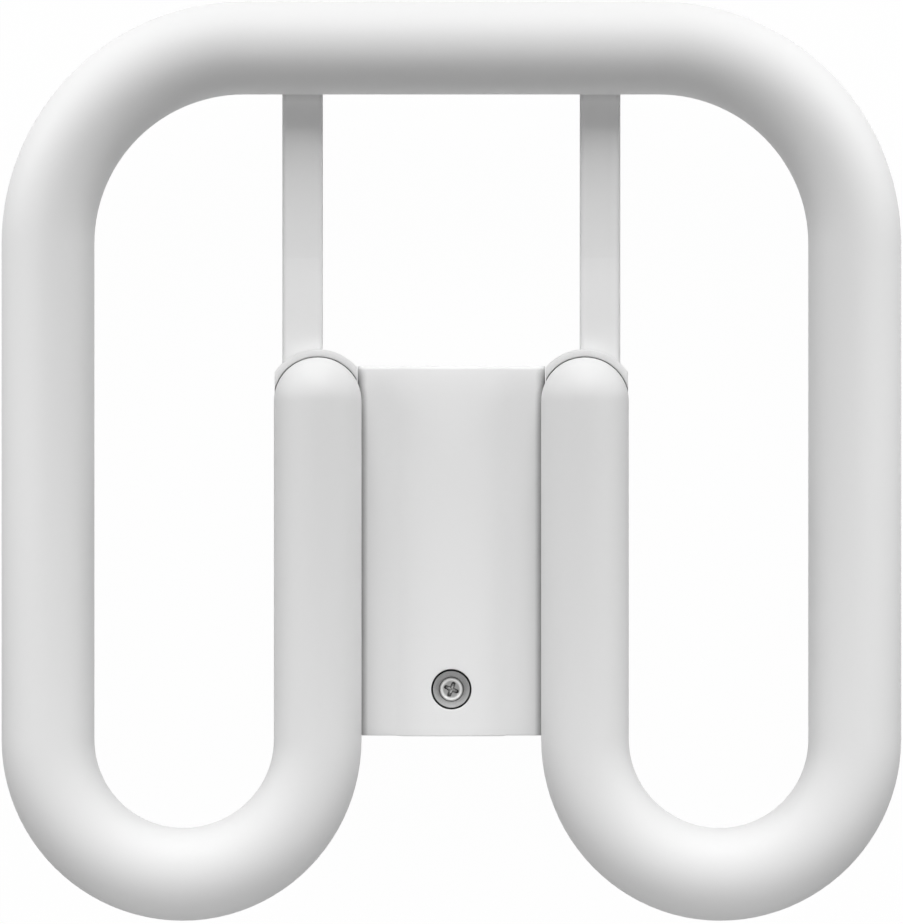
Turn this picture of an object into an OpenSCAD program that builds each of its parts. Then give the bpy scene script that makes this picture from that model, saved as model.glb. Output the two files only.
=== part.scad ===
// Square compact fluorescent lamp with a two-pin plug-in base, lying on its back.
// The origin is the middle of the lamp on the base's rear face. +Z points out of the
// front of the lamp and +Y towards its top run. All sizes are in millimetres.

/* [Outline] */
// Width over the two side runs
lamp_w = 138; // [136:0.5:146]
// Length from the top run to the U bends
lamp_l = 141; // [139:0.5:149]
// Depth from the base's rear face to the front of the tube
lamp_d = 27.5; // [27:0.25:31]

/* [Discharge tube] */
// Diameter of the outer loop
tube_d = 14.25; // [13.75:0.05:15]
// Diameter of the two inner legs
leg_d = 13.45; // [12.9:0.05:13.7]
// Distance between the centrelines of the two legs
leg_pitch = 41; // [40:0.25:43]
// Distance from the lamp's middle to the centres of the legs' dome ends
dome_y = 9.2; // [8.6:0.1:10]
// Centreline radius of the two top corners
corner_r = 30; // [27:0.5:33]

/* [Housing] */
// Distance from the lamp's middle to the top end of the cover
cover_top = 14.6; // [14:0.1:15]
// Length of the cover
cover_l = 56.8; // [55:0.1:58]
// How far the cover overhangs the housing all round
cover_overhang = 0.3; // [0.1:0.05:0.4]
// Wall of the housing
housing_wall = 2; // [1.6:0.1:2.2]
// Floor of the housing
floor_t = 1.8; // [1.4:0.1:2.2]
// Lean of the housing's walls in degrees
draft = 3; // [1:0.5:4]
// Fillet along the rear edges of the housing
rear_fillet = 1.5; // [0.8:0.1:1.8]
// Radius of the housing's upright corners
housing_corner_r = 1.6; // [1:0.1:2]
// Depth of the housing's rim below the tube's axis
rim_drop = 4.6; // [4.3:0.05:4.9]

/* [Cradles and arms] */
// Gap between the tube and the surfaces that hold it
seat_gap = 0.2; // [0.1:0.02:0.26]
// Wall of a cradle
cradle_wall = 1.1; // [0.9:0.05:1.3]
// Depth of a cradle's outer rim below the tube's axis
cradle_rim_drop = 3.6; // [3:0.1:4.2]
// Depth of the end cup's lip below the tube's axis
cup_lip_drop = 0.9; // [0.5:0.1:1.6]
// How far a cradle stays inside the leg's outer side
cradle_inset = 0.12; // [0.05:0.01:0.3]
// Thickness of the ribs under a cradle
gusset_t = 1.4; // [1:0.1:2]
// Width of an arm
arm_w = 6.2; // [5.4:0.1:7]
// Distance from the lamp's middle plane to the middle of an arm
arm_x = 22.85; // [22:0.05:23.4]
// Depth of an arm's front face below the tube's axis
arm_drop = 4.9; // [4.4:0.1:5.4]
// Depth of an arm from front to back
arm_t = 6; // [5.4:0.1:7]
// Wall of an arm's channel
arm_wall = 1.4; // [1:0.1:1.8]
// Distance from the lamp's middle to the crease where an arm starts to rise
crease_y = 31.2; // [27:0.2:36]
// Angle at which an arm rises past its crease
arm_rise = 5; // [3:0.5:6]
// How far an arm's saddle reaches past the tube's axis
saddle_reach = 5; // [3.8:0.1:6]
// Radius of an arm's long front edges
arm_edge_r = 0.7; // [0.4:0.1:1.2]

/* [Front cover] */
// Gap between the cover's edge and the legs
cover_gap = 0.25; // [0.15:0.05:0.35]
// Depth of the cover's edge below the tube's axis
cover_edge_drop = 3.4; // [3.2:0.05:3.6]
// Half the width of the crowned strip
crown_half = 8.05; // [7:0.05:9]
// Slope of the flanks in degrees
flank_slope = 10; // [6:0.5:12]
// Height of the crown above the flanks
crown_rise = 2; // [1.4:0.1:2.4]
// Wall of the cover
cover_wall = 1.3; // [1.1:0.05:1.5]
// Radius of the cover's top end
cover_end_r = 1.8; // [1.2:0.1:2]
// Height of the locating rim inside the cover
locating_rim = 1; // [0.6:0.1:1.2]
// Clearance between parts that fit into each other
fit_gap = 0.1; // [0.05:0.01:0.14]

/* [Screw] */
// Distance from the cover's lower end to the screw
screw_inset = 7.2; // [6.4:0.1:9]
// Diameter of the funnel at the cover's face
funnel_d = 6.15; // [5.8:0.05:6.6]
// Diameter of the funnel at the screw's seat
funnel_seat_d = 4.4; // [4.2:0.05:5]
// Depth of the funnel
funnel_depth = 3.2; // [2.8:0.1:3.6]
// Diameter of the screw's head
head_d = 3.75; // [3.4:0.05:4]
// Height of the screw's head
head_h = 1.4; // [1.2:0.05:1.6]
// Core diameter of the screw's shank
shank_d = 1.75; // [1.5:0.05:2]
// Length of the screw below its head
shank_l = 9.5; // [8:0.5:10]
// Outer diameter of the screw boss
boss_d = 6; // [5.4:0.1:6.6]
// Angle of the cross recess in degrees
cross_turn = -21; // [-45:1:45]

/* [Socket] */
// Width of the socket recess
socket_w = 20; // [19:0.1:20.6]
// Height of the socket recess
socket_h = 14; // [13:0.1:15]
// Room between the socket recess's roof and the housing's rim
wiring_room = 6.275; // [6:0.025:6.8]
// Wall round the socket recess
socket_wall = 1.5; // [1.2:0.1:1.6]
// Radius of the recess's corners
socket_corner_r = 2; // [1:0.1:3]
// Distance between the two contact pins
pin_pitch = 8; // [7.6:0.1:8.4]
// Diameter of a contact pin
pin_d = 2.4; // [2.2:0.05:2.6]
// Diameter of a contact pin's neck, where it passes through the roof
pin_neck_d = 2; // [1.8:0.05:2.1]
// How far the pins' tips stay behind the rear face
pin_tip_in = 1; // [0.6:0.1:1.6]
// How far the pins' tails end below the leads
tail_drop = 2; // [1.8:0.1:2.4]

/* [Inner parts] */
// Diameter of the glow starter
starter_d = 6.4; // [5.6:0.1:6.8]
// Length of the glow starter
starter_l = 16; // [14:0.5:17]
// Thickness of the capacitor
capacitor_t = 4.4; // [3.6:0.1:5]
// Height of the capacitor
capacitor_h = 7.5; // [6.5:0.1:8.5]
// Width of the capacitor
capacitor_w = 9; // [8:0.1:10]
// Diameter of a lead wire with its sleeve
lead_d = 1.1; // [0.9:0.05:1.2]
// Distance between the two leads of a leg
lead_pitch = 3; // [2.6:0.1:3.2]
// Diameter of the starter's and the capacitor's bare leads
bare_d = 0.6; // [0.5:0.05:0.7]

/* [Hidden] */

$fn = 96;
// Overshoot of cutting bodies
eps = 0.5;

// Centrelines of the tube
tube_r = tube_d / 2;
leg_r = leg_d / 2;
axis_z = lamp_d - tube_r;
side_x = lamp_w / 2 - tube_r;
top_y = lamp_l / 2 - tube_r;
leg_x = leg_pitch / 2;
bend_r = (side_x - leg_x) / 2;
bend_x = (side_x + leg_x) / 2;
bend_y = bend_r - top_y;
corner_y = top_y - corner_r;
bend_inset = 0.02;
bend_lap = 0.4;

// Cradles: the trough clears the leg by the seat gap
trough_r = leg_r + seat_gap;
cup_r = trough_r + cradle_wall;
cradle_edge = leg_x + leg_r - cradle_inset;
cradle_rim_z = axis_z - cradle_rim_drop;
cup_lip_z = axis_z - cup_lip_drop;

// Cover: its edge lies below the legs' widest line, so the legs overlap it from the front
edge_z = axis_z - cover_edge_drop;
cover_half = leg_x - sqrt(pow(leg_r + cover_gap, 2) - pow(cover_edge_drop, 2));
cover_bottom = cover_top - cover_l;
rim_z = axis_z - rim_drop;
cover_base_z = rim_z + fit_gap;
flank_z = edge_z + (cover_half - crown_half) * tan(flank_slope);
crown_z = flank_z + crown_rise;
crown_r = (pow(crown_half, 2) + pow(crown_rise, 2)) / (2 * crown_rise);

// Housing
housing_half = cover_half - cover_overhang;
housing_top = cover_top - cover_overhang;
housing_bottom = cover_bottom + cover_overhang;
housing_l = housing_top - housing_bottom;
housing_mid = (housing_top + housing_bottom) / 2;
roof_z = rim_z - wiring_room;
socket_depth = roof_z - socket_wall;

// Screw and its seat
screw_y = -cover_bottom - screw_inset;
seat_z = crown_z - funnel_depth;
sleeve_wall = 1.2;
sleeve_r = funnel_d / 2 + sleeve_wall;
sleeve_z = seat_z - cover_wall;
boss_z = sleeve_z - fit_gap;
pilot_gap = 0.05;

// Arms, which overlap by crease_lap at the crease
crease_lap = 3;
arm_z = axis_z - arm_drop;
arm_back_z = arm_z - arm_t;
arm_end_y = top_y + saddle_reach;
saddle_r = tube_r + seat_gap;
rib_count = 3;
pad_w = arm_w - 2 * arm_wall;
pad_l = 6;
pad_depth = 1;
pad_z = axis_z - saddle_r - pad_depth;

// Slot for a leg's two leads, through the housing's wall and the cradle
lead_y = 2.9;
lead_depth = 0.9;
lead_z = rim_z - lead_depth;
slot_margin = 1.2;
slot_l = lead_pitch + 2 * slot_margin;
slot_floor_gap = 0.35;
slot_z = lead_z - lead_d / 2 - slot_floor_gap;
slot_wall = 1.1;
bead_gap = 0.05;
joint_gap = 0.15;
lead_bend = 1.2;

// Inner parts lie on the floor
rest_gap = 0.05;
starter_x = -6.4;
starter_z = floor_t + rest_gap + starter_d / 2;
// Room for the starter's leads between the socket's block and the bulb
stub_room = 3.4;
starter_top = -socket_h / 2 - socket_wall - stub_room;
stub_l = 1.6;
stub_pitch = 2.4;
capacitor_x = 6.2;
capacitor_set_back = 5.5;
capacitor_y = starter_top - capacitor_set_back;
capacitor_lead_l = 2;

// Contact pins
pin_tip = 0.5;
pin_shoulder_z = socket_depth - fit_gap * 2;
pin_flange_r = 1.9;
pin_flange_t = 0.8;
tail_d = 1.2;
tail_z = lead_z - tail_drop;

// Rectangle with round corners, centred
module rounded_rect(w, h, r) {
    square([w - 2 * r, h], center = true);
    square([w, h - 2 * r], center = true);
    for (x = [-1, 1], y = [-1, 1]) translate([x * (w / 2 - r), y * (h / 2 - r)]) circle(r);
}

// Cylinder with one dome end, along +Y, whose dome is centred on a leg's end
module capsule(r, y0) {
    len = dome_y - y0;
    translate([leg_x, dome_y, axis_z]) rotate([-90, 0, 0]) rotate_extrude() intersection() {
        union() {
            circle(r);
            translate([0, -len]) square([r, len]);
        }
        translate([0, -len]) square([r + eps, len + r + eps]);
    }
}

// Repeats a right-hand shape on the left
module both_sides() {
    children();
    mirror([1, 0, 0]) children();
}

// Section radius of the leg-side quarter of a U bend, eased from the tube's to the leg's.
// It stays a hair inside its two neighbours, so that their rims stay whole circles.
function ease(t) = t * t * (3 - 2 * t);
function bend_section(t) = tube_r + (leg_r - tube_r) * ease(t) - bend_inset;
// Point on ring t of that quarter, at angle a round the section
function bend_point(t, a) = let (turn = 270 - 90 * t, rad = bend_r + bend_section(t) * cos(a))
    [rad * cos(turn), rad * sin(turn), bend_section(t) * sin(a)];

// Quarter bend whose section tapers towards the leg. Its first and last rings reach
// bend_lap into the neighbours.
module tapered_quarter(rings = 12, sides = 48) {
    turns = [for (j = [0 : sides - 1]) 360 * j / sides];
    points = concat([for (a = turns) bend_point(0, a) + [bend_lap, 0, 0]],
        [for (k = [0 : rings], a = turns) bend_point(k / rings, a)],
        [for (a = turns) bend_point(1, a) + [0, bend_lap, 0]]);
    last = rings + 2;
    walls = [for (k = [0 : last - 1], j = [0 : sides - 1]) let (n = (j + 1) % sides)
        [k * sides + j, (k + 1) * sides + j, (k + 1) * sides + n, k * sides + n]];
    start_cap = [for (j = [0 : sides - 1]) j];
    end_cap = [for (j = [sides - 1 : -1 : 0]) last * sides + j];
    polyhedron(points, concat(walls, [start_cap, end_cap]), convexity = 4);
}

// Right-hand half of the tube, from the middle of the top run to the dome
module half_tube() {
    translate([0, top_y, axis_z]) rotate([0, 90, 0]) cylinder(h = side_x - corner_r, r = tube_r);
    translate([side_x - corner_r, corner_y, axis_z])
        rotate_extrude(angle = 90) translate([corner_r, 0]) circle(tube_r);
    // Side run, from the corner to the cut where the bend starts
    intersection() {
        translate([side_x, corner_y, axis_z]) rotate([90, 0, 0]) cylinder(h = lamp_l, r = tube_r);
        translate([side_x - tube_d, bend_y, axis_z - tube_d]) cube([2 * tube_d, lamp_l, 2 * tube_d]);
    }
    translate([bend_x, bend_y, axis_z])
        rotate_extrude(angle = 90, start = 270) translate([bend_r, 0]) circle(tube_r);
    translate([bend_x, bend_y, axis_z]) tapered_quarter();
    capsule(leg_r, bend_y);
}

module discharge_tube() {
    color("white") both_sides() half_tube();
}

// Housing block that narrows towards the rear, drawn in by inset on every side
module drafted_block(inset, z0, z1, fillet, corner) {
    half_w = housing_half - inset;
    half_l = housing_l / 2 - inset;
    lean = (rim_z - z0) * tan(draft);
    gain = (z1 - rim_z) * tan(draft);
    intersection() {
        translate([0, housing_mid, 0]) rotate([90, 0, 0])
            linear_extrude(housing_l + 2 * eps, center = true)
                drafted_profile(half_w - lean, half_w + gain, z0, z1, fillet);
        translate([0, housing_mid, 0]) rotate([90, 0, 90])
            linear_extrude(2 * (housing_half + eps), center = true)
                drafted_profile(half_l - lean, half_l + gain, z0, z1, fillet);
        translate([0, housing_mid, z0]) linear_extrude(z1 - z0)
            rounded_rect(2 * (half_w + gain), 2 * (half_l + gain), corner);
    }
}

// Trapezoid with rounded lower corners
module drafted_profile(low_half, high_half, z0, z1, r) {
    polygon([[-low_half + r, z0], [low_half - r, z0], [low_half, z0 + r],
        [high_half, z1], [-high_half, z1], [-low_half, z0 + r]]);
    for (s = [-1, 1]) translate([s * (low_half - r), z0 + r]) circle(r);
}

// Trough, end cup and rim of the right-hand cradle
module cradle() {
    end_y = housing_bottom;
    difference() {
        capsule(cup_r, end_y);
        // The outer side stays behind the leg
        translate([cradle_edge, end_y - eps, 0]) cube([2 * cup_r, lamp_l, lamp_d]);
        // The lip of the end cup
        translate([0, end_y - eps, cup_lip_z]) cube([lamp_w / 2, lamp_l, lamp_d]);
        // The straight part ends lower, outside at its own rim and inside under the cover
        translate([leg_x, end_y - eps, cradle_rim_z]) cube([2 * cup_r, dome_y - end_y + eps, lamp_d]);
        translate([0, end_y - eps, rim_z]) cube([leg_x + eps, dome_y - end_y + eps, lamp_d]);
        // Room for the cover beside the end cup
        translate([0, end_y - eps, rim_z]) cube([cover_half + fit_gap, lamp_l, lamp_d]);
    }
}

// Rib between the housing's side and the underside of a cradle
module gusset(y) {
    low_z = 3 * rear_fillet;
    wall_x = housing_half - housing_wall / 2 - rim_z * tan(draft);
    translate([0, y + gusset_t / 2, 0]) rotate([90, 0, 0]) linear_extrude(gusset_t)
        polygon([[wall_x, low_z], [wall_x, rim_z - cradle_wall], [leg_x, axis_z - trough_r - cradle_wall / 2],
            [leg_x - cradle_wall, axis_z - cup_r - cradle_wall / 2]]);
}

// Section of an arm, seen along it, with its front face at z = 0 and both front edges rounded
module arm_section(steps = 6) {
    side = arm_w / 2 - arm_edge_r;
    edge = [for (k = [0 : steps]) arm_edge_r * [cos(90 * k / steps), sin(90 * k / steps) - 1]];
    polygon(concat([for (p = edge) [side + p[0], p[1]]], [for (k = [steps : -1 : 0]) [-side - edge[k][0], edge[k][1]]],
        [[-arm_w / 2, -2 * arm_t], [arm_w / 2, -2 * arm_t]]));
}

// Arm from the end cup to the saddle under the top run
module arm() {
    rise_l = arm_end_y - crease_y;
    pocket_top = arm_z - arm_wall;
    pocket_y = dome_y + cup_r + 1;
    pocket_end = top_y - tube_r - 1;
    pitch = (pocket_end - pocket_y) / (rib_count + 1);
    difference() {
        intersection() {
            union() {
                translate([arm_x, crease_y + crease_lap, arm_z]) rotate([90, 0, 0])
                    linear_extrude(crease_y + crease_lap - dome_y) arm_section();
                translate([arm_x, crease_y, arm_z]) rotate([90 + arm_rise, 0, 0])
                    translate([0, 0, -2 * rise_l]) linear_extrude(2 * rise_l + crease_lap) arm_section();
            }
            translate([arm_x - arm_w, dome_y, arm_back_z]) cube([2 * arm_w, arm_end_y - dome_y, lamp_d]);
        }
        // Channel open to the back, with cross ribs left standing
        for (k = [0 : rib_count]) {
            translate([arm_x - pad_w / 2, pocket_y + k * pitch, arm_back_z - eps])
                cube([pad_w, pitch - arm_wall, pocket_top - arm_back_z + eps]);
        }
        // Saddle for the top run, and the pocket of its adhesive pad
        translate([arm_x - arm_w, top_y, axis_z]) rotate([0, 90, 0]) cylinder(h = 2 * arm_w, r = saddle_r);
        translate([arm_x - pad_w / 2, top_y - pad_l / 2, pad_z]) cube([pad_w, pad_l, axis_z - pad_z]);
    }
}

// Space of a leg's two leads, from the leg to the inside of the housing
module lead_slot(gap) {
    translate([housing_half - housing_wall - eps, lead_y - slot_l / 2 + gap, slot_z + gap])
        cube([leg_x - housing_half, slot_l - 2 * gap, axis_z]);
}

// Boss that closes the lead slot towards the back, between the housing and the cradle
module slot_boss() {
    boss_low = slot_z - slot_wall;
    translate([0, lead_y + slot_l / 2 + slot_wall, 0]) rotate([90, 0, 0])
        linear_extrude(slot_l + 2 * slot_wall)
            polygon([[housing_half - housing_wall, boss_low - slot_wall], [housing_half, boss_low - slot_wall],
                [leg_x - leg_r / 2, boss_low], [leg_x - leg_r / 2, slot_z], [housing_half, rim_z],
                [housing_half - housing_wall, rim_z]]);
}

module rear_base() {
    color("whitesmoke") difference() {
        union() {
            difference() {
                drafted_block(0, 0, rim_z, rear_fillet, housing_corner_r);
                drafted_block(housing_wall, floor_t, rim_z + eps, rear_fillet / 2, housing_corner_r / 2);
            }
            locating_rims();
            both_sides() {
                cradle();
                for (y = [housing_bottom + 4, housing_mid, dome_y - 1]) gusset(y);
                arm();
                slot_boss();
            }
            // Block round the socket recess
            linear_extrude(roof_z)
                rounded_rect(socket_w + 2 * socket_wall, socket_h + 2 * socket_wall, socket_corner_r + 1);
            // Screw boss
            translate([0, -screw_y, floor_t / 2]) cylinder(h = boss_z - floor_t / 2, d = boss_d);
        }
        both_sides() {
            capsule(trough_r, housing_bottom - 5);
            lead_slot(0);
            translate([pin_pitch / 2, 0, 0]) cylinder(h = roof_z + eps, r = pin_neck_d / 2 + pilot_gap);
        }
        // Socket recess
        translate([0, 0, -eps]) linear_extrude(socket_depth + eps)
            rounded_rect(socket_w, socket_h, socket_corner_r);
        // Pilot hole of the screw
        translate([0, -screw_y, seat_z - shank_l - eps])
            cylinder(h = shank_l + 2 * eps, d = shank_d + 2 * pilot_gap);
    }
}

// Low ribs on the end walls that locate the cover
module locating_rims() {
    rim_t = housing_wall / 2;
    rim_half = crown_half - 2;
    inner = cover_wall + fit_gap - cover_overhang;
    for (end = [-1, 1]) {
        translate([-rim_half, housing_mid + end * (housing_l / 2 - inner - rim_t / 2) - rim_t / 2, rim_z - eps])
            cube([2 * rim_half, rim_t, locating_rim + eps]);
    }
}

// Outer form of the cover, or with an inset its hollow
module cover_form(inset) {
    half = cover_half - inset;
    side_z = edge_z - inset;
    top_end = cover_top - inset;
    bottom_end = cover_bottom + inset;
    base_z = inset > 0 ? cover_base_z - eps : cover_base_z;
    end_r = max(cover_end_r - inset, 0.3);
    // Flanks, which fall towards the legs
    intersection() {
        translate([0, housing_mid, 0]) rotate([90, 0, 0]) linear_extrude(cover_l + 2 * eps, center = true)
            polygon([[-half, base_z], [half, base_z], [half, side_z], [crown_half, flank_z - inset],
                [-crown_half, flank_z - inset], [-half, side_z]]);
        end_form(bottom_end, top_end, base_z, flank_z - inset, end_r);
    }
    // Crowned strip
    intersection() {
        translate([0, housing_mid, 0]) rotate([90, 0, 0]) linear_extrude(cover_l + 2 * eps, center = true)
            intersection() {
                translate([0, crown_z - crown_r]) circle(crown_r - inset);
                translate([-crown_half + inset / 2, base_z])
                    square([2 * crown_half - inset, crown_z - base_z]);
            }
        end_form(bottom_end, top_end, base_z, crown_z - inset, end_r);
    }
}

// Side view of the cover, rounded at its top end, drawn through the whole width
module end_form(y0, y1, z0, z1, r) {
    rotate([90, 0, 90]) linear_extrude(2 * cover_half + 2 * eps, center = true) {
        translate([y0, z0]) square([y1 - y0 - r, z1 - z0]);
        translate([y0, z0]) square([y1 - y0, z1 - z0 - r]);
        translate([y1 - r, z1 - r]) circle(r);
    }
}

module front_cover() {
    color("white") difference() {
        union() {
            difference() {
                cover_form(0);
                cover_form(cover_wall);
            }
            // Sleeve that carries the screw's seat
            intersection() {
                translate([0, -screw_y, sleeve_z]) cylinder(h = crown_z - sleeve_z, r = sleeve_r);
                cover_form(0);
            }
            translate([0, -screw_y, sleeve_z]) cylinder(h = cover_wall, r = sleeve_r);
        }
        translate([0, -screw_y, seat_z])
            cylinder(h = funnel_depth, d1 = funnel_seat_d, d2 = funnel_d);
        translate([0, -screw_y, crown_z]) cylinder(h = eps, d = funnel_d);
        translate([0, -screw_y, sleeve_z - eps])
            cylinder(h = cover_wall + 2 * eps, d = shank_d + 4 * fit_gap);
    }
}

module cover_screw() {
    dome_r = head_d;
    cross_w = 0.62;
    cross_l = 2.3;
    cross_depth = 0.75;
    color("silver") translate([0, -screw_y, seat_z]) {
        difference() {
            intersection() {
                cylinder(h = head_h, d = head_d);
                translate([0, 0, head_h - dome_r]) sphere(dome_r);
            }
            rotate([0, 0, cross_turn]) translate([0, 0, head_h - cross_depth]) {
                for (turn = [0, 90]) rotate([0, 0, turn]) translate([-cross_l / 2, -cross_w / 2, 0])
                    cube([cross_l, cross_w, head_h]);
            }
        }
        translate([0, 0, -shank_l + shank_d]) cylinder(h = shank_l - shank_d, d = shank_d);
        translate([0, 0, -shank_l]) cylinder(h = shank_d, d1 = shank_d / 3, d2 = shank_d);
    }
}

// Right-hand contact pin: tapered tip, neck through the recess's roof, flange and tail
module contact_pin() {
    translate([pin_pitch / 2, 0, 0]) {
        translate([0, 0, pin_tip_in]) cylinder(h = pin_tip, d1 = pin_d - 2 * pin_tip, d2 = pin_d);
        translate([0, 0, pin_tip_in + pin_tip]) cylinder(h = pin_shoulder_z - pin_tip_in - pin_tip, d = pin_d);
        translate([0, 0, pin_shoulder_z]) cylinder(h = roof_z - pin_shoulder_z, d = pin_neck_d);
        translate([0, 0, roof_z]) cylinder(h = pin_flange_t, r = pin_flange_r);
        translate([0, 0, roof_z]) cylinder(h = tail_z - roof_z, d = tail_d);
    }
}

module contact_pin_left() {
    color("silver") mirror([1, 0, 0]) contact_pin();
}

module contact_pin_right() {
    color("silver") contact_pin();
}

// Glass bulb with a dome end, a flat press end and two bare leads
module glow_starter() {
    color("lightcyan") translate([starter_x, starter_top, starter_z]) rotate([90, 0, 0]) {
        rotate_extrude() intersection() {
            union() {
                square([starter_d / 2, starter_l - starter_d / 2]);
                translate([0, starter_l - starter_d / 2]) circle(starter_d / 2);
            }
            square([starter_d, starter_l]);
        }
        for (s = [-1, 1]) translate([s * stub_pitch / 2, 0, -stub_l]) cylinder(h = stub_l + 1, d = bare_d);
    }
}

// Dipped block with two bare leads that point forward
module suppression_capacitor() {
    color("goldenrod") translate([capacitor_x, capacitor_y, floor_t + rest_gap]) {
        linear_extrude(capacitor_h) rounded_rect(capacitor_w, capacitor_t, capacitor_t / 4);
        for (s = [-1, 1]) translate([s * capacitor_w / 4, 0, capacitor_h - 1])
            cylinder(h = capacitor_lead_l + 1, d = bare_d);
    }
}

// Round wire along the listed points, whose stretches run along the axes, with bends of
// one radius between them
module wire(points, d, bend) {
    last = len(points) - 1;
    for (k = [0 : last - 1]) {
        ahead = (points[k + 1] - points[k]) / norm(points[k + 1] - points[k]);
        start = points[k] + (k > 0 ? bend : 0) * ahead;
        end = points[k + 1] - (k < last - 1 ? bend : 0) * ahead;
        translate(start) rotate([0, acos(ahead[2]), atan2(ahead[1], ahead[0])])
            cylinder(h = norm(end - start), d = d);
    }
    for (k = [1 : last - 1]) {
        into = (points[k] - points[k - 1]) / norm(points[k] - points[k - 1]);
        out = (points[k + 1] - points[k]) / norm(points[k + 1] - points[k]);
        up = cross(-out, into);
        centre = points[k] + bend * (out - into);
        multmatrix([[-out[0], into[0], up[0], centre[0]], [-out[1], into[1], up[1], centre[1]],
            [-out[2], into[2], up[2], centre[2]]])
            rotate_extrude(angle = 90) translate([bend, 0]) circle(d / 2);
    }
}

// Rounded down to whole steps, so that straight stretches and bends share their ends exactly
function in_steps(value, step) = floor(value / step) * step;
// Where a lead leaves the leg, with its upper edge just clear of the leg's surface
lead_start_x = in_steps(leg_x - sqrt(pow(leg_r + bead_gap, 2) - pow(axis_z - lead_z - lead_d / 2, 2)), 0.05);
pin_lead_y = lead_y + lead_pitch / 2;
starter_lead_y = lead_y - lead_pitch / 2;
wall_room = 3.2;
inner_x = in_steps(housing_half - housing_wall - wall_room, 0.1);
// Where the starter's leads turn down in front of its stubs
drop_y = starter_top + stub_l + joint_gap + lead_d / 2;

module pin_lead(side) {
    pin_x = side * pin_pitch / 2;
    wire([[side * lead_start_x, pin_lead_y, lead_z], [pin_x, pin_lead_y, lead_z], [pin_x, 0, lead_z],
        [pin_x, 0, tail_z + joint_gap]], lead_d, lead_bend);
}

module pin_lead_left() {
    color("ivory") pin_lead(-1);
}

module pin_lead_right() {
    color("ivory") pin_lead(1);
}

module starter_lead_left() {
    stub_x = starter_x - stub_pitch / 2;
    color("ivory") wire([[-lead_start_x, starter_lead_y, lead_z], [stub_x, starter_lead_y, lead_z],
        [stub_x, drop_y, lead_z], [stub_x, drop_y, starter_z - lead_d / 2]], lead_d, lead_bend);
}

module starter_lead_right() {
    stub_x = starter_x + stub_pitch / 2;
    color("ivory") wire([[lead_start_x, starter_lead_y, lead_z], [inner_x, starter_lead_y, lead_z],
        [inner_x, drop_y, lead_z], [stub_x, drop_y, lead_z], [stub_x, drop_y, starter_z - lead_d / 2]],
        lead_d, lead_bend);
}

// Silicone that fills the lead slot against the leg
module leg_adhesive() {
    difference() {
        intersection() {
            lead_slot(bead_gap);
            cube([leg_x - leg_r / 2, lamp_l, rim_z - bead_gap]);
        }
        capsule(leg_r + bead_gap, housing_bottom);
        for (y = [pin_lead_y, starter_lead_y]) translate([0, y, lead_z]) rotate([0, 90, 0])
            cylinder(h = leg_x, d = lead_d + 2 * bead_gap);
    }
}

module leg_adhesive_left() {
    color("gainsboro") mirror([1, 0, 0]) leg_adhesive();
}

module leg_adhesive_right() {
    color("gainsboro") leg_adhesive();
}

// Silicone pad between an arm's saddle and the top run
module arm_adhesive() {
    difference() {
        translate([arm_x - pad_w / 2 + bead_gap, top_y - pad_l / 2 + bead_gap, pad_z + bead_gap])
            cube([pad_w - 2 * bead_gap, pad_l - 2 * bead_gap, pad_depth + seat_gap + tube_r / 4]);
        translate([arm_x - arm_w, top_y, axis_z]) rotate([0, 90, 0])
            cylinder(h = 2 * arm_w, r = tube_r + bead_gap);
    }
}

module arm_adhesive_left() {
    color("gainsboro") mirror([1, 0, 0]) arm_adhesive();
}

module arm_adhesive_right() {
    color("gainsboro") arm_adhesive();
}

discharge_tube();
rear_base();
front_cover();
cover_screw();
contact_pin_left();
contact_pin_right();
glow_starter();
suppression_capacitor();
pin_lead_left();
pin_lead_right();
starter_lead_left();
starter_lead_right();
leg_adhesive_left();
leg_adhesive_right();
arm_adhesive_left();
arm_adhesive_right();
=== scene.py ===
import math

import bpy
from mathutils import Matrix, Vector


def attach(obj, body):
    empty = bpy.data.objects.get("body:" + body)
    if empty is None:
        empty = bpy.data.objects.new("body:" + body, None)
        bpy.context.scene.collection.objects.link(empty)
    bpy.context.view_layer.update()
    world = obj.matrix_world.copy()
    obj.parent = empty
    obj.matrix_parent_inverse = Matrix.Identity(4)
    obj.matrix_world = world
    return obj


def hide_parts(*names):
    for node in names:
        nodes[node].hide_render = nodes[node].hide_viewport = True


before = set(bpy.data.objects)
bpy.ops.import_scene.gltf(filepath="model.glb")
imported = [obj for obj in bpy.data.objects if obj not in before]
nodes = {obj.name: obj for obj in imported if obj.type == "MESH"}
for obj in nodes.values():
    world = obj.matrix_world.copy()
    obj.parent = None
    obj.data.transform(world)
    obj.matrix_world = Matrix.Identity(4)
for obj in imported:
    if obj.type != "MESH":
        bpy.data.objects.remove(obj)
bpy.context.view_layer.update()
mm = 0.001


def addNode(tree, kind, x, y, **settings):
    made = tree.nodes.new(kind)
    made.location = (x, y)
    for name, value in settings.items():
        setattr(made, name, value)
    return made


# inputs are a name, a kind of socket and, where it matters, a default
def newGroup(name, kind, inputs, outputs):
    group = bpy.data.node_groups.new(name, kind)
    for title, socket, *value in inputs:
        made = group.interface.new_socket(title, in_out="INPUT", socket_type=socket)
        if value:
            made.default_value = value[0]
    for title, socket in outputs:
        group.interface.new_socket(title, in_out="OUTPUT", socket_type=socket)
    return group


def newPiece(name, points, faces=(), edges=()):
    mesh = bpy.data.meshes.new(name)
    mesh.from_pydata(points, edges, faces)
    mesh.update()
    piece = bpy.data.objects.new(name, mesh)
    bpy.context.scene.collection.objects.link(piece)
    return piece


def addAttribute(piece, name, values):
    piece.data.attributes.new(name, "FLOAT", "POINT").data.foreach_set("value", values)


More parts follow.
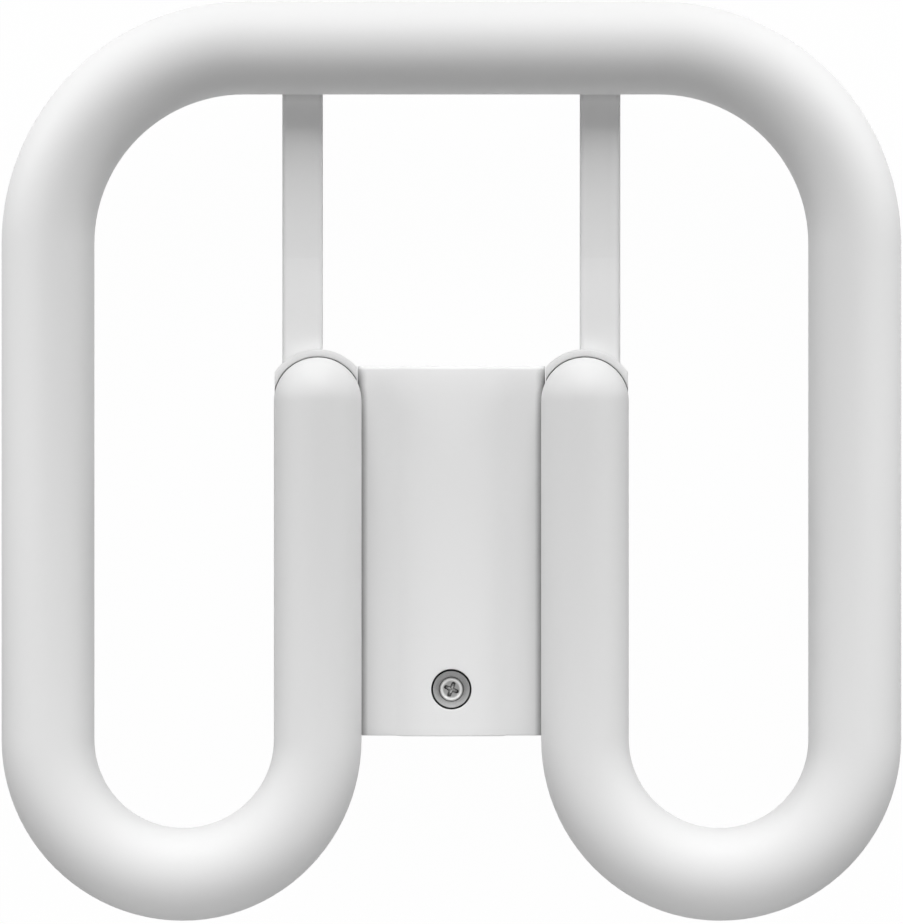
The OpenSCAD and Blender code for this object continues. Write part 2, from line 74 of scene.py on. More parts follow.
# runs a node tree on the piece and keeps the result as a plain mesh
def bakeTree(piece, tree, values):
    modifier = piece.modifiers.new(tree.name, "NODES")
    modifier.node_group = tree
    for socket in tree.interface.items_tree:
        if socket.in_out == "INPUT" and socket.name in values:
            modifier[socket.identifier] = values[socket.name]
    ready = piece.evaluated_get(bpy.context.evaluated_depsgraph_get())
    rough = piece.data
    piece.data = bpy.data.meshes.new_from_object(ready)
    piece.data.name = piece.name
    piece.modifiers.remove(modifier)
    bpy.data.meshes.remove(rough)


def smoothAbove(piece, degrees):
    piece.data.shade_smooth()
    piece.data.set_sharp_from_angle(angle=math.radians(degrees))


def dress(piece, material, slot, *replaced):
    piece.data.materials.clear()
    piece.data.materials.append(material)
    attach(piece, "root")
    if replaced:
        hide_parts(*replaced)
    print(f"{piece.name}: {len(piece.data.polygons)} faces")


def arc(centreX, centreY, radius, start, end, steps):
    turns = [math.radians(start + (end - start) * k / steps) for k in range(steps + 1)]
    return [(centreX + radius * math.cos(t), centreY + radius * math.sin(t)) for t in turns]


# soft clouds of tone and a fine moulded or coated skin, both in object coordinates
def makeSkinGroup():
    group = newGroup("surfaceSkin", "ShaderNodeTree", (
        ("Colour", "NodeSocketColor", (0.8, 0.8, 0.8, 1)), ("Cloud Size", "NodeSocketFloat", 0.02),
        ("Cloud Depth", "NodeSocketFloat", 0.02), ("Grain Size", "NodeSocketFloat", 0.0003),
        ("Roughness", "NodeSocketFloat", 0.4), ("Roughness Spread", "NodeSocketFloat", 0.05),
    ), (("Colour", "NodeSocketColor"), ("Roughness", "NodeSocketFloat"),
        ("Height", "NodeSocketFloat")))
    source = addNode(group, "NodeGroupInput", -900, 0)
    place = addNode(group, "ShaderNodeTexCoord", -900, 300)
    link = group.links.new

    def noiseOf(size, x, y, detail):
        scale = addNode(group, "ShaderNodeMath", x - 180, y, operation="DIVIDE")
        scale.inputs[0].default_value = 1
        link(source.outputs[size], scale.inputs[1])
        noise = addNode(group, "ShaderNodeTexNoise", x, y)
        noise.inputs["Detail"].default_value = detail
        link(place.outputs["Object"], noise.inputs["Vector"])
        link(scale.outputs[0], noise.inputs["Scale"])
        return noise.outputs["Fac"]

    clouds = noiseOf("Cloud Size", -500, 250, 3)
    grain = noiseOf("Grain Size", -500, -150, 2)
    # tone = 1 + depth * (cloud - 0.5)
    centred = addNode(group, "ShaderNodeMath", -300, 250, operation="SUBTRACT")
    centred.inputs[1].default_value = 0.5
    link(clouds, centred.inputs[0])
    tone = addNode(group, "ShaderNodeMath", -120, 250, operation="MULTIPLY_ADD")
    tone.inputs[2].default_value = 1
    link(centred.outputs[0], tone.inputs[0])
    link(source.outputs["Cloud Depth"], tone.inputs[1])
    tinted = addNode(group, "ShaderNodeVectorMath", 60, 250, operation="SCALE")
    link(source.outputs["Colour"], tinted.inputs[0])
    link(tone.outputs[0], tinted.inputs["Scale"])
    rough = addNode(group, "ShaderNodeMath", -120, 0, operation="MULTIPLY_ADD")
    link(centred.outputs[0], rough.inputs[0])
    link(source.outputs["Roughness Spread"], rough.inputs[1])
    link(source.outputs["Roughness"], rough.inputs[2])
    result = addNode(group, "NodeGroupOutput", 300, 0)
    link(tinted.outputs[0], result.inputs["Colour"])
    link(rough.outputs[0], result.inputs["Roughness"])
    link(grain, result.inputs["Height"])
    return group


# painted shade: darkens a colour where the surface is closed in: at an openness of 0 it keeps
# the least share, and from the full openness on it keeps the most
def makePaintedShadeGroup():
    group = newGroup("paintedGapShade", "ShaderNodeTree", (
        ("Colour", "NodeSocketColor", (0.8, 0.8, 0.8, 1)), ("Openness", "NodeSocketFloat", 1),
        ("Full Openness", "NodeSocketFloat", 1), ("Least", "NodeSocketFloat", 0.5),
        ("Most", "NodeSocketFloat", 1)), (("Colour", "NodeSocketColor"),))
    source = addNode(group, "NodeGroupInput", -500, 0)
    share = addNode(group, "ShaderNodeMapRange", -300, 0)
    for name, target in (("Openness", "Value"), ("Full Openness", "From Max"),
                         ("Least", "To Min"), ("Most", "To Max")):
        group.links.new(source.outputs[name], share.inputs[target])
    darker = addNode(group, "ShaderNodeVectorMath", -100, 0, operation="SCALE")
    group.links.new(source.outputs["Colour"], darker.inputs[0])
    group.links.new(share.outputs["Result"], darker.inputs["Scale"])
    result = addNode(group, "NodeGroupOutput", 100, 0)
    group.links.new(darker.outputs[0], result.inputs["Colour"])
    return group


skinGroup = makeSkinGroup()
paintedShadeGroup = makePaintedShadeGroup()

# rough: roughness. clouds and depth: size and strength of the soft clouds of tone. grain and
# bump: size and height of the fine skin. soften: radius of the softened edges. The gap share:
# share of the colour lost in narrow gaps and creases, a painted shade. shine: reflection level.
# Sizes are in metres.
# The recess entry is a painted shade: a part of the piece, the screw's funnel or the middle of
# its head round the cross, keeps less of the colour. Its reach in millimetres and its openness say
# how closed in it counts as being, least and most are the shares that it keeps
finishes = {
    "coatedGlass": {"colour": (0.75, 0.75, 0.75), "rough": 0.5, "clouds": 0.03, "depth": 0.015,
                    "grain": 0.0006, "bump": 0.000004, "paintedShade": 0.4, "shine": 0.18},
    # base and cover are one white plastic: the base's lighter colour is painted light that makes up
    # for the shade on its arms
    "basePlastic": {"colour": (0.9, 0.9, 0.9), "rough": 0.55, "clouds": 0.02, "depth": 0.02,
                    "grain": 0.00035, "bump": 0.000006, "soften": 0.0004, "paintedShade": 0.5,
                    "shine": 0.25},
    "coverPlastic": {"colour": (0.85, 0.85, 0.85), "rough": 0.5, "clouds": 0.02, "depth": 0.015,
                     "grain": 0.0004, "bump": 0.000004, "paintedShade": 0.75, "shine": 0.25,
                     "recessShade": {"reach": 4.2, "open": 0.68, "least": 0.05, "most": 0.53}},
    "screwSteel": {"colour": (0.86, 0.86, 0.85), "rough": 0.34, "clouds": 0.0008, "depth": 0.4,
                   "grain": 0.00012, "bump": 0.000008, "metal": 1, "paintedShade": 0,
                   "recessShade": {"reach": 0.9, "open": 1, "least": 0.12, "most": 0.4}},
    "pinBrass": {"colour": (0.78, 0.66, 0.42), "rough": 0.28, "clouds": 0.002, "depth": 0.2,
                 "grain": 0.0001, "bump": 0.000003, "metal": 1},
    "starterGlass": {"colour": (0.78, 0.83, 0.84), "rough": 0.12, "clouds": 0.004, "depth": 0.1,
                     "grain": 0.0008, "bump": 0.000002, "coat": 0.5},
    "capacitorCoat": {"colour": (0.62, 0.34, 0.09), "rough": 0.3, "clouds": 0.003, "depth": 0.15,
                      "grain": 0.0005, "bump": 0.00002, "soften": 0.0003},
    "leadSleeve": {"colour": (0.74, 0.70, 0.58), "rough": 0.6, "clouds": 0.002, "depth": 0.12,
                   "grain": 0.0002, "bump": 0.00001},
    "silicone": {"colour": (0.72, 0.72, 0.71), "rough": 0.35, "clouds": 0.002, "depth": 0.08,
                 "grain": 0.001, "bump": 0.00004, "soften": 0.0003},
}
# what the finishes have in common
common = {"paintedShadeReach": 1.6 * mm, "paintedShadeSamples": 3, "softenSamples": 4, "coatRoughness": 0.2,
          "shine": 0.5}


# painted shade: open surfaces keep their colour, surfaces close to another darken as if shaded
def paintGapShade(tree, finish, colour):
    near = addNode(tree, "ShaderNodeAmbientOcclusion", -500, 300, samples=common["paintedShadeSamples"])
    near.inputs["Distance"].default_value = common["paintedShadeReach"]
    shade = addNode(tree, "ShaderNodeGroup", -250, 250, node_tree=paintedShadeGroup)
    shade.inputs["Least"].default_value = 1 - finish["paintedShade"]
    tree.links.new(near.outputs["AO"], shade.inputs["Openness"])
    tree.links.new(colour, shade.inputs["Colour"])
    # painted shade in a marked recess: wider reach and lower shares of the colour
    if "recessShade" in finish:
        recessShade = finish["recessShade"]
        inside = addNode(tree, "ShaderNodeAttribute", -900, 500, attribute_name="recessShade")
        for target, deep in ((near.inputs["Distance"], recessShade["reach"] * mm),
                             (shade.inputs["Full Openness"], recessShade["open"]),
                             (shade.inputs["Least"], recessShade["least"]),
                             (shade.inputs["Most"], recessShade["most"])):
            blend = addNode(tree, "ShaderNodeMapRange", -700, 500)
            blend.inputs["To Min"].default_value = target.default_value
            blend.inputs["To Max"].default_value = deep
            tree.links.new(inside.outputs["Fac"], blend.inputs["Value"])
            tree.links.new(blend.outputs["Result"], target)
    return shade.outputs["Colour"]


def makeMaterial(name):
    finish = finishes[name]
    material = bpy.data.materials.new(name)
    material.use_nodes = True
    tree = material.node_tree
    shader = tree.nodes["Principled BSDF"]
    skin = addNode(tree, "ShaderNodeGroup", -500, 0, node_tree=skinGroup)
    skin.inputs["Colour"].default_value = (*finish["colour"], 1)
    skin.inputs["Cloud Size"].default_value = finish["clouds"]
    skin.inputs["Cloud Depth"].default_value = finish["depth"]
    skin.inputs["Grain Size"].default_value = finish["grain"]
    skin.inputs["Roughness"].default_value = finish["rough"]
    bump = addNode(tree, "ShaderNodeBump", -250, -250)
    bump.inputs["Distance"].default_value = finish["bump"]
    colour = skin.outputs["Colour"]
    # painted shade: the colour darkens in narrow gaps and creases
    if "paintedShade" in finish:
        colour = paintGapShade(tree, finish, colour)
    tree.links.new(colour, shader.inputs["Base Color"])
    tree.links.new(skin.outputs["Roughness"], shader.inputs["Roughness"])
    tree.links.new(skin.outputs["Height"], bump.inputs["Height"])
    tree.links.new(bump.outputs["Normal"], shader.inputs["Normal"])
    if "soften" in finish:
        bevel = addNode(tree, "ShaderNodeBevel", -450, -300, samples=common["softenSamples"])
        bevel.inputs["Radius"].default_value = finish["soften"]
        tree.links.new(bevel.outputs["Normal"], bump.inputs["Normal"])
    shader.inputs["Metallic"].default_value = finish.get("metal", 0)
    shader.inputs["Coat Weight"].default_value = finish.get("coat", 0)
    shader.inputs["Coat Roughness"].default_value = common["coatRoughness"]
    shader.inputs["Specular IOR Level"].default_value = finish.get("shine", common["shine"])
    return material


materials = {name: makeMaterial(name) for name in finishes}
print(f"materials: {len(materials)}")


tube = {
    "radius": 7.125 * mm, "legRadius": 6.725 * mm, "axisZ": 20.375 * mm,
    "sideX": 61.875 * mm, "topY": 63.375 * mm, "cornerRadius": 30 * mm,
    "legX": 20.5 * mm, "domeY": 9.2 * mm,
    "sides": 88, "topSteps": 6, "arcSteps": 30, "runSteps": 8, "bendSteps": 48, "domeSteps": 16,
}
mergeDistance = 1e-6   # joins the points at the closed ends of swept pieces, in metres


def namedAttribute(tree, name, x, y):
    made = addNode(tree, "GeometryNodeInputNamedAttribute", x, y, data_type="FLOAT")
    made.inputs["Name"].default_value = name
    return made


# sweeps a round section along the centreline: slim runs from the tube's section to the
# leg's, and cap shrinks it to nothing at the two domes
def makeTubeTree():
    tree = newGroup("bentTube", "GeometryNodeTree", (
        ("Centreline", "NodeSocketGeometry"), ("Tube Radius", "NodeSocketFloat"),
        ("Leg Radius", "NodeSocketFloat"), ("Sides", "NodeSocketInt"),
        ("Glass", "NodeSocketMaterial")), (("Tube", "NodeSocketGeometry"),))
    source = addNode(tree, "NodeGroupInput", -900, 0)
    link = tree.links.new
    slim = namedAttribute(tree, "slim", -900, -300)
    cap = namedAttribute(tree, "cap", -900, -450)
    section = addNode(tree, "ShaderNodeMix", -650, -200)
    link(slim.outputs["Attribute"], section.inputs["Factor"])
    link(source.outputs["Tube Radius"], section.inputs["A"])
    link(source.outputs["Leg Radius"], section.inputs["B"])
    scale = addNode(tree, "ShaderNodeMath", -450, -250, operation="MULTIPLY")
    link(section.outputs["Result"], scale.inputs[0])
    link(cap.outputs["Attribute"], scale.inputs[1])
    path = addNode(tree, "GeometryNodeMeshToCurve", -650, 100)
    link(source.outputs["Centreline"], path.inputs["Mesh"])
    ring = addNode(tree, "GeometryNodeCurvePrimitiveCircle", -450, 0)
    ring.inputs["Radius"].default_value = 1
    link(source.outputs["Sides"], ring.inputs["Resolution"])
    sweep = addNode(tree, "GeometryNodeCurveToMesh", -200, 100)
    link(path.outputs["Curve"], sweep.inputs["Curve"])
    link(ring.outputs["Curve"], sweep.inputs["Profile Curve"])
    link(scale.outputs[0], sweep.inputs["Scale"])
    closed = addNode(tree, "GeometryNodeMergeByDistance", 0, 100)
    closed.inputs["Distance"].default_value = mergeDistance
    link(sweep.outputs["Mesh"], closed.inputs["Geometry"])
    smooth = addNode(tree, "GeometryNodeSetShadeSmooth", 180, 100)
    link(closed.outputs["Geometry"], smooth.inputs["Geometry"])
    real = addNode(tree, "GeometryNodeRealizeInstances", 360, 100)
    link(smooth.outputs["Geometry"], real.inputs["Geometry"])
    paint = addNode(tree, "GeometryNodeSetMaterial", 540, 100)
    link(real.outputs["Geometry"], paint.inputs["Geometry"])
    link(source.outputs["Glass"], paint.inputs["Material"])
    result = addNode(tree, "NodeGroupOutput", 720, 100)
    link(paint.outputs["Geometry"], result.inputs["Tube"])
    return tree


# right-hand half of the centreline from the middle of the top run to the dome's tip:
# x, y, slim and cap of each point
def halfCentreline():
    top, side, legX, domeY = tube["topY"], tube["sideX"], tube["legX"], tube["domeY"]
    topSteps, runSteps, domeSteps = tube["topSteps"], tube["runSteps"], tube["domeSteps"]
    cornerX, cornerY = side - tube["cornerRadius"], top - tube["cornerRadius"]
    bendRadius = (side - legX) / 2
    bendX, bendY = side - bendRadius, bendRadius - top
    points = [(cornerX * k / topSteps, top, 0, 1) for k in range(topSteps)]
    points += [(x, y, 0, 1) for x, y in arc(cornerX, cornerY, tube["cornerRadius"], 90, 0,
                                            tube["arcSteps"])]
    points += [(side, cornerY + (bendY - cornerY) * k / runSteps, 0, 1)
               for k in range(1, runSteps)]
    for k, (x, y) in enumerate(arc(bendX, bendY, bendRadius, 0, -180, tube["bendSteps"])):
        past = max(0, 2 * k / tube["bendSteps"] - 1)   # the leg's half of the bend
        points.append((x, y, past * past * (3 - 2 * past), 1))
    points += [(legX, bendY + (domeY - bendY) * k / runSteps, 1, 1)
               for k in range(1, runSteps + 1)]
    for k in range(1, domeSteps + 1):
        lean = math.pi / 2 * k / domeSteps
        points.append((legX, domeY + tube["legRadius"] * math.sin(lean), 1, math.cos(lean)))
    return points


def makeTube():
    half = halfCentreline()
    line = [(-x, y, slim, cap) for x, y, slim, cap in reversed(half[1:])] + half
    piece = newPiece("dischargeTube", [(x, y, tube["axisZ"]) for x, y, slim, cap in line],
                     edges=[(k, k + 1) for k in range(len(line) - 1)])
    addAttribute(piece, "slim", [p[2] for p in line])
    addAttribute(piece, "cap", [p[3] for p in line])
    bakeTree(piece, makeTubeTree(), {
        "Tube Radius": tube["radius"], "Leg Radius": tube["legRadius"], "Sides": tube["sides"],
        "Glass": materials["coatedGlass"]})
    dress(piece, materials["coatedGlass"], "coated_glass", "discharge_tube")


makeTube()


# all in millimetres, the flank's slope and the crease angle in degrees
cover = {
    "half": 14.41, "bottom": -42.2, "top": 14.6, "baseZ": 15.875, "edgeZ": 16.975, "wall": 1.3,
    "leastRise": 0.1, "flankSlope": 10, "valleySoft": 0.3,
    "crownHalf": 8.05, "crownZ": 20.096, "crownRadius": 17.2, "crownReach": 14,
    "endRadius": 0.6, "endReach": 5, "endDrop": 0.35, "sideReach": 1.6, "sideDrop": 1,
    "edgeRadius": 0.15, "bottomBulge": 0.1, "bulgeFade": 0.6, "bulgeReach": 1.5,
    "screwY": -35, "sleeveZ": 15.596, "sleeveRadius": 4.275, "holeRadius": 1.075,
    "patchHalf": 5, "step": 0.5, "patchStep": 0.4, "startSteps": 6, "endSteps": 8,
    "creaseAngle": 42,
    # radius and depth below the crown, from the cover's face down to the screw's seat
    "funnel": [(3.3, 0), (3.2, 0.01), (3.13, 0.04), (3.09, 0.12), (3.07, 1.3), (3.0, 1.45),
               (2.9, 1.4), (2.84, 0.5), (2.8, 0.42), (2.74, 0.42), (2.69, 0.5), (2.45, 0.98),
               (2.2, 1.48), (2.0, 1.88), (1.92, 2.0), (1.91, 3.1), (1.9, 3.2), (1.075, 3.2)],
    "paintedShadeDepth": 0.12,   # from here down the funnel has painted shade
    "levelDepth": 1,     # from here down it no longer follows the crown
    # rounding at the root of the screw's sleeve: added radius and depth below the hollow's roof
    "sleeveRoot": [(0.3, 0), (0.08, 0.1), (0, 0.3)],
    "patchShares": (0.2, 0.4, 0.6, 0.8),   # rings between the square patch and the round hole
    "skirtShares": (1 / 3, 2 / 3, 1),      # rings down the cover's outer side
}


# height of the cover's face, or of the hollow under it
def coverHeight(x, y, inner):
    radius, aside = cover["crownRadius"], min(abs(x), cover["crownReach"])
    crown = cover["crownZ"] - radius + math.sqrt(radius ** 2 - aside ** 2)
    slope = math.tan(math.radians(cover["flankSlope"]))
    flank = cover["edgeZ"] + (cover["half"] - abs(x)) * slope
    height = (crown + flank + math.hypot(crown - flank, cover["valleySoft"])) / 2
    if inner:
        return height - cover["wall"]
    height -= cover["endDrop"] * max(0, 1 - (cover["top"] - y) / cover["endReach"]) ** 2
    for reach, width, drop in (
            (cover["half"] - abs(x), cover["sideReach"], cover["sideDrop"]),
            (y - cover["bottom"], cover["edgeRadius"], cover["edgeRadius"]),
            (cover["top"] - y, cover["endRadius"], cover["endRadius"])):
        lean = min(max(1 - reach / width, 0), 1)
        height -= drop * (1 - math.sqrt(1 - lean * lean))
    return max(height, cover["baseZ"] + cover["leastRise"])


# steps that crowd towards both ends and hit each of the given marks
def crowdedSteps(start, end, startRound, endRound, marks, step, fineStep):
    startSteps, endSteps = cover["startSteps"], cover["endSteps"]
    values = [start + startRound * (1 - math.sin(math.pi / 2 * (startSteps - k) / startSteps))
              for k in range(startSteps + 1)]
    stops = [values[-1], *marks, end - endRound]
    for k, (a, b) in enumerate(zip(stops, stops[1:])):
        count = max(1, round((b - a) / (fineStep if k == 1 else step)))
        values += [a + (b - a) * n / count for n in range(1, count + 1)]
    values += [end - endRound * (1 - math.sin(math.pi / 2 * k / endSteps))
               for k in range(1, endSteps + 1)]
    return values


# a point of the face, or of the hollow, whose border is drawn in by the wall
def coverPoint(x, y, inner):
    if not inner:
        fade = cover["bulgeFade"]
        flank = 1 - min(max((cover["crownHalf"] + fade / 2 - abs(x)) / fade, 0), 1)
        near = max(0, 1 - (y - cover["bottom"]) / cover["bulgeReach"])
        return x, y + cover["bottomBulge"] * flank * near, coverHeight(x, y, False)
    half, wall, patch = cover["half"], cover["wall"], cover["patchHalf"] + cover["step"]
    low = cover["screwY"] - cover["patchHalf"]
    if abs(x) > patch:
        x = math.copysign(patch + (abs(x) - patch) * (half - wall - patch) / (half - patch), x)
    if y < low:
        y = low + (y - low) * (low - cover["bottom"] - wall) / (low - cover["bottom"])
    elif y > 0:
        y *= (cover["top"] - wall) / cover["top"]
    return x, y, max(coverHeight(x, y, True), cover["baseZ"] + cover["leastRise"])


# grid indices round a rectangle, counter-clockwise seen from the front
def loopOf(i0, i1, j0, j1):
    return ([(i, j0) for i in range(i0, i1)] + [(i1, j) for j in range(j0, j1)]
            + [(i, j1) for i in range(i1, i0, -1)] + [(i0, j) for j in range(j1, j0, -1)])


def makeCover():
    patch, screwY, half = cover["patchHalf"], cover["screwY"], cover["half"]
    columns = crowdedSteps(-half, half, cover["sideReach"], cover["sideReach"], (-patch, patch),
                           cover["step"], cover["patchStep"])
    rows = crowdedSteps(cover["bottom"], cover["top"], cover["edgeRadius"], cover["endRadius"],
                        (screwY - patch, screwY + patch), 2 * cover["step"], cover["patchStep"])
    wide, tall = len(columns), len(rows)
    west, east = columns.index(-patch), columns.index(patch)
    south = min(range(tall), key=lambda j: abs(rows[j] - screwY + patch))
    north = min(range(tall), key=lambda j: abs(rows[j] - screwY - patch))
    points, faces, paintedShadePoints = [], [], set()

    def addLoop(loop):
        points.extend(loop)
        return list(range(len(points) - len(loop), len(points)))

    def bridge(a, b, flip):
        for k in range(len(a)):
            n = (k + 1) % len(a)
            quad = (a[k], a[n], b[n], b[k])
            faces.append(quad[::-1] if flip else quad)

    ends = {}
    for inner in (False, True):
        first = len(points)
        points += [coverPoint(x, y, inner) for y in rows for x in columns]
        for j in range(tall - 1):
            for i in range(wide - 1):
                if west <= i < east and south <= j < north:
                    continue
                at = first + j * wide + i
                quad = (at, at + 1, at + wide + 1, at + wide)
                faces.append(quad[::-1] if inner else quad)
        border = [first + j * wide + i for i, j in loopOf(0, wide - 1, 0, tall - 1)]
        skirt = border
        for share in cover["skirtShares"][-1:] if inner else cover["skirtShares"]:
            lower = []
            for k in border:
                x, y, z = points[k]
                lower.append((x, y, z + (cover["baseZ"] - z) * share))
            lower = addLoop(lower)
            bridge(lower, skirt, inner)
            skirt = lower
        # the patch round the screw: square outside, round inside
        square = [first + j * wide + i for i, j in loopOf(west, east, south, north)]
        turns = [math.atan2(points[k][1] - screwY, points[k][0]) for k in square]
        profile = cover["funnel"]
        if inner:
            profile = [(cover["sleeveRadius"] + added, z) for added, z in cover["sleeveRoot"]]
        widest = profile[0][0]
        hole = square
        for share in cover["patchShares"]:
            rounder = []
            for k, turn in zip(square, turns):
                x = points[k][0] * (1 - share) + widest * math.cos(turn) * share
                y = points[k][1] * (1 - share) + (screwY + widest * math.sin(turn)) * share
                rounder.append((x, y, coverHeight(x, y, inner)))
            rounder = addLoop(rounder)
            bridge(hole, rounder, inner)
            hole = rounder
        for radius, depth in profile:
            level = 0 if inner else min(depth / cover["levelDepth"], 1)
            ring = []
            for turn in turns:
                x, y = radius * math.cos(turn), screwY + radius * math.sin(turn)
                face = coverHeight(x, y, inner) - depth
                ring.append((x, y, face * (1 - level) + (cover["crownZ"] - depth) * level))
            ring = addLoop(ring)
            # the deeper rings of the funnel are marked for painted shade
            if not inner and depth >= cover["paintedShadeDepth"]:
                paintedShadePoints.update(ring)
            bridge(hole, ring, inner)
            hole = ring
        if inner:
            for radius in (cover["sleeveRadius"], cover["holeRadius"]):
                ring = addLoop([(radius * math.cos(t), screwY + radius * math.sin(t),
                                 cover["sleeveZ"]) for t in turns])
                bridge(hole, ring, True)
                hole = ring
        ends[inner] = (skirt, hole)
    bridge(ends[True][0], ends[False][0], False)   # rim that rests on the housing
    bridge(ends[False][1], ends[True][1], False)   # hole for the screw's shank
    piece = newPiece("frontCover", [Vector(p) * mm for p in points], faces)
    addAttribute(piece, "recessShade", [float(k in paintedShadePoints) for k in range(len(points))])
    smoothAbove(piece, cover["creaseAngle"])
    dress(piece, materials["coverPlastic"], "cover_plastic", "front_cover")


makeCover()


# all in millimetres, the cross's turn and the crease angle in degrees
screw = {
    "place": (0, -35), "seatZ": 16.896, "headRadius": 1.875, "headHeight": 1.4, "sides": 96,
    "domeRadius": 6.5, "domeRings": 34, "edgeRound": 0.22, "edgeRings": 5, "edgeDrop": 0.03,
    # the painted shade round the cross is full inside the first radius and fades out by the second
    "paintedShadeRadius": 1.15, "shadeEndRadius": 1.45, "neckRadius": 1.0, "creaseAngle": 50,
    "coreRadius": 0.74, "crestRadius": 0.9, "pitch": 1.1, "length": 9.5, "threadEnd": 0.2,
    "flankSlope": 1.6, "rootShare": 0.6,   # narrow crests and wide roots
    "threadRows": 110, "fadeInRows": 8, "fadeOutRows": 18, "pointRows": 14, "pointShare": 0.25,
    "crossLength": 1.2, "crossWidth": 0.34, "crossDepth": 0.9, "crossTurn": -21,
    "crossTaper": 0.25, "sideSlope": 0.1, "endSlope": 0.35,
    "wingShare": 0.75, "middleShare": 0.3, "middleRadius": 0.6,
    # the underside of the head's edge: how far in from the head's radius, and height
    "headFoot": [(0, 0.12), (0.03, 0.04), (0.1, 0)],
}


# depth of the cross recess: four tapered wings and a pointed middle
def crossDepth(x, y):
    turn = math.radians(screw["crossTurn"])
    along = x * math.cos(turn) + y * math.sin(turn)
    across = -x * math.sin(turn) + y * math.cos(turn)
    deepest = 0
    for a, b in ((along, across), (across, along)):
        width = screw["crossWidth"] * (1 - screw["crossTaper"] * abs(a) / screw["crossLength"])
        side = min(max((width - abs(b)) / screw["sideSlope"], 0), 1)
        end = min(max((screw["crossLength"] - abs(a)) / screw["endSlope"], 0), 1)
        deepest = max(deepest, side * end)
    middle = max(0, 1 - math.hypot(x, y) / screw["middleRadius"]) * screw["middleShare"]
    return screw["crossDepth"] * deepest * (screw["wingShare"] + middle)


# radius, height and whether the ring is on the domed top, from the middle of the head outwards
def headRings():
    radius, height, dome = screw["headRadius"], screw["headHeight"], screw["domeRadius"]
    edge = screw["edgeRound"]
    topRadius = radius - edge
    rings = []
    for k in range(1, screw["domeRings"] + 1):
        r = topRadius * k / screw["domeRings"]
        rings.append((r, height - dome + math.sqrt(dome * dome - r * r), True))
    shoulder = rings[-1][1]
    for k in range(1, screw["edgeRings"] + 1):
        lean = math.pi / 2 * k / screw["edgeRings"]
        rings.append((topRadius + edge * math.sin(lean),
                      shoulder - edge * (1 - math.cos(lean)) - screw["edgeDrop"], False))
    rings += [(radius - inset, z, False) for inset, z in screw["headFoot"]]
    return rings + [(screw["neckRadius"], 0, False)]


# a point of the threaded shank, which tapers to a point
def shankPoint(row, turn):
    rowsLeft = screw["threadRows"] - row
    z = -screw["threadEnd"] - (screw["length"] - 2 * screw["threadEnd"]) * row / screw["threadRows"]
    wave = abs((z / screw["pitch"] + turn) % 1 - 0.5) * 2
    crest = max(0, wave * screw["flankSlope"] - screw["rootShare"])
    fade = min(1, row / screw["fadeInRows"], rowsLeft / screw["fadeOutRows"])
    r = screw["coreRadius"] + (screw["crestRadius"] - screw["coreRadius"]) * crest * fade
    share = screw["pointShare"]
    r *= min(1, share + (1 - share) * rowsLeft / screw["pointRows"])
    return r * math.cos(2 * math.pi * turn), r * math.sin(2 * math.pi * turn), z


def makeScrew():
    rings, sides = headRings(), screw["sides"]
    points, faces, paintedShadeShares = [], [], []
    # the middle of the head round the cross is marked for painted shade
    for r, z, top in rings:
        past = (r - screw["paintedShadeRadius"]) / (screw["shadeEndRadius"] - screw["paintedShadeRadius"])
        paintedShadeShares += [1 - min(max(past, 0), 1) if top else 0] * sides
        for n in range(sides):
            x, y = r * math.cos(2 * math.pi * n / sides), r * math.sin(2 * math.pi * n / sides)
            points.append((x, y, z - (crossDepth(x, y) if top else 0)))
    points += [shankPoint(row, n / sides) for row in range(screw["threadRows"] + 1)
               for n in range(sides)]
    count = len(rings) + screw["threadRows"] + 1
    for k in range(count - 1):
        for n in range(sides):
            m = (n + 1) % sides
            faces.append((k * sides + n, (k + 1) * sides + n, (k + 1) * sides + m, k * sides + m))
    middle = len(points)
    points += [(0, 0, screw["headHeight"] - crossDepth(0, 0)), (0, 0, -screw["length"])]
    paintedShadeShares += [0] * (middle - len(paintedShadeShares)) + [1, 0]
    last = (count - 1) * sides
    for n in range(sides):
        m = (n + 1) % sides
        faces += [(middle, n, m), (middle + 1, last + m, last + n)]
    x0, y0 = screw["place"]
    piece = newPiece("coverScrew", [Vector((x + x0, y + y0, z + screw["seatZ"])) * mm
                                    for x, y, z in points], faces)
    addAttribute(piece, "recessShade", paintedShadeShares)
    smoothAbove(piece, screw["creaseAngle"])
    dress(piece, materials["screwSteel"], "screw_steel", "cover_screw")


makeScrew()


pins = {
    "pitch": 8 * mm, "radius": 1.2 * mm, "sides": 48, "creaseAngle": 40,
    # height in millimetres, and radius as a share of the pin's
    "profile": [
        (1.0, 0.0), (1.0, 0.5), (1.02, 0.6), (1.1, 0.76), (1.22, 0.9), (1.36, 0.97),  # tip
        (1.5, 1), (2.6, 1), (2.68, 0.96), (2.82, 0.96), (2.9, 1),                     # groove
        (7.62, 1), (7.74, 0.97), (7.8, 0.9), (7.8, 0.833), (9.5, 0.833),              # neck
        (9.5, 1.5), (9.56, 1.58), (10.2, 1.58), (10.3, 1.5), (10.3, 0.56),            # flange
        (10.4, 0.5), (12.7, 0.5), (12.83, 0.42), (12.87, 0.3), (12.87, 0),            # tail
    ],
}


